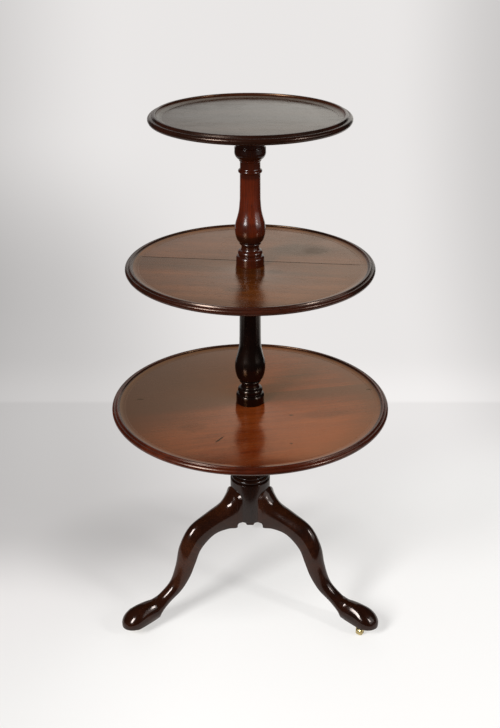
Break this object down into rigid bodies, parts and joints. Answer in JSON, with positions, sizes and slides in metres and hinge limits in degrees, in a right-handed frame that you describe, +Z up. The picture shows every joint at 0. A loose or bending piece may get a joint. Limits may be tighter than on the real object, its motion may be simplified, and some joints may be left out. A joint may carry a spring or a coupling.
{
  "type": "dumbwaiter table",
  "caption": "Tiered round mahogany dumbwaiter table with a baluster-turned column, dished revolving tops and cabriole legs on brass castors.",
  "frame": {"origin": "centre of the base of the bounding box, on the floor that the castor wheels stand on", "axes": "+Z up along the column, -Y towards the front, +X to the right seen from the front; one leg points to +Y"},
  "size_m": [0.61, 0.6367, 1.158],
  "materials": {
    "mahogany": "French polished",
    "mahogany_dark": "French polished, darkened",
    "brass": "worn polish",
    "iron": "dull"
  },
  "bodies": {
    "base": {"pillar": "mahogany_dark", "lower_baluster": "mahogany_dark", "upper_baluster": "mahogany_dark", "leg_front_left": "mahogany_dark", "castor_plate_front_left": "brass", "castor_screw_front_left_1": "brass", "castor_screw_front_left_2": "brass", "castor_screw_front_left_3": "brass", "leg_front_right": "mahogany_dark", "castor_plate_front_right": "brass", "castor_screw_front_right_1": "brass", "castor_screw_front_right_2": "brass", "castor_screw_front_right_3": "brass", "leg_rear": "mahogany_dark", "castor_plate_rear": "brass", "castor_screw_rear_1": "brass", "castor_screw_rear_2": "brass", "castor_screw_rear_3": "brass"},
    "bottom_tier": {"bottom_tier": "mahogany", "bottom_tier_boss": "mahogany_dark", "bottom_boss_screw_1": "iron", "bottom_boss_screw_2": "iron", "bottom_boss_screw_3": "iron"},
    "middle_tier": {"middle_tier_front_board": "mahogany", "middle_tier_rear_board": "mahogany", "middle_tier_boss": "mahogany_dark", "middle_boss_screw_1": "iron", "middle_boss_screw_2": "iron", "middle_boss_screw_3": "iron"},
    "top_tier": {"top_tier": "mahogany", "top_tier_boss": "mahogany_dark", "top_boss_screw_1": "iron", "top_boss_screw_2": "iron", "top_boss_screw_3": "iron"},
    "castor_front_left": {"castor_fork_front_left": "brass", "castor_axle_front_left": "iron"},
    "wheel_front_left": {"castor_wheel_front_left": "brass"},
    "castor_front_right": {"castor_fork_front_right": "brass", "castor_axle_front_right": "iron"},
    "wheel_front_right": {"castor_wheel_front_right": "brass"},
    "castor_rear": {"castor_fork_rear": "brass", "castor_axle_rear": "iron"},
    "wheel_rear": {"castor_wheel_rear": "brass"}
  },
  "joints": [
    {"name": "bottom_tier_turn", "type": "hinge", "parent": "base", "child": "bottom_tier", "pos_m": [0, -0.014, 0.5065], "axis": [0, 0, 1], "continuous": true},
    {"name": "middle_tier_turn", "type": "hinge", "parent": "base", "child": "middle_tier", "pos_m": [0, -0.014, 0.8305], "axis": [0, 0, 1], "continuous": true},
    {"name": "top_tier_turn", "type": "hinge", "parent": "base", "child": "top_tier", "pos_m": [0, -0.014, 1.1425], "axis": [0, 0, 1], "continuous": true},
    {"name": "castor_front_left_swivel", "type": "hinge", "parent": "base", "child": "castor_front_left", "pos_m": [-0.25851, -0.16325, 0.024], "axis": [0, 0, 1], "continuous": true},
    {"name": "wheel_front_left_spin", "type": "hinge", "parent": "castor_front_left", "child": "wheel_front_left", "pos_m": [-0.26606, -0.15206, 0.0093], "axis": [-0.829, -0.5592, 0], "continuous": true},
    {"name": "castor_front_right_swivel", "type": "hinge", "parent": "base", "child": "castor_front_right", "pos_m": [0.25851, -0.16325, 0.024], "axis": [0, 0, 1], "continuous": true},
    {"name": "wheel_front_right_spin", "type": "hinge", "parent": "castor_front_right", "child": "wheel_front_right", "pos_m": [0.2502, -0.17389, 0.0093], "axis": [0.788, -0.6157, 0], "continuous": true},
    {"name": "castor_rear_swivel", "type": "hinge", "parent": "base", "child": "castor_rear", "pos_m": [0, 0.2845, 0.024], "axis": [0, 0, 1], "continuous": true},
    {"name": "wheel_rear_spin", "type": "hinge", "parent": "castor_rear", "child": "wheel_rear", "pos_m": [-0.01269, 0.28912, 0.0093], "axis": [-0.342, -0.9397, 0], "continuous": true}
  ]
}
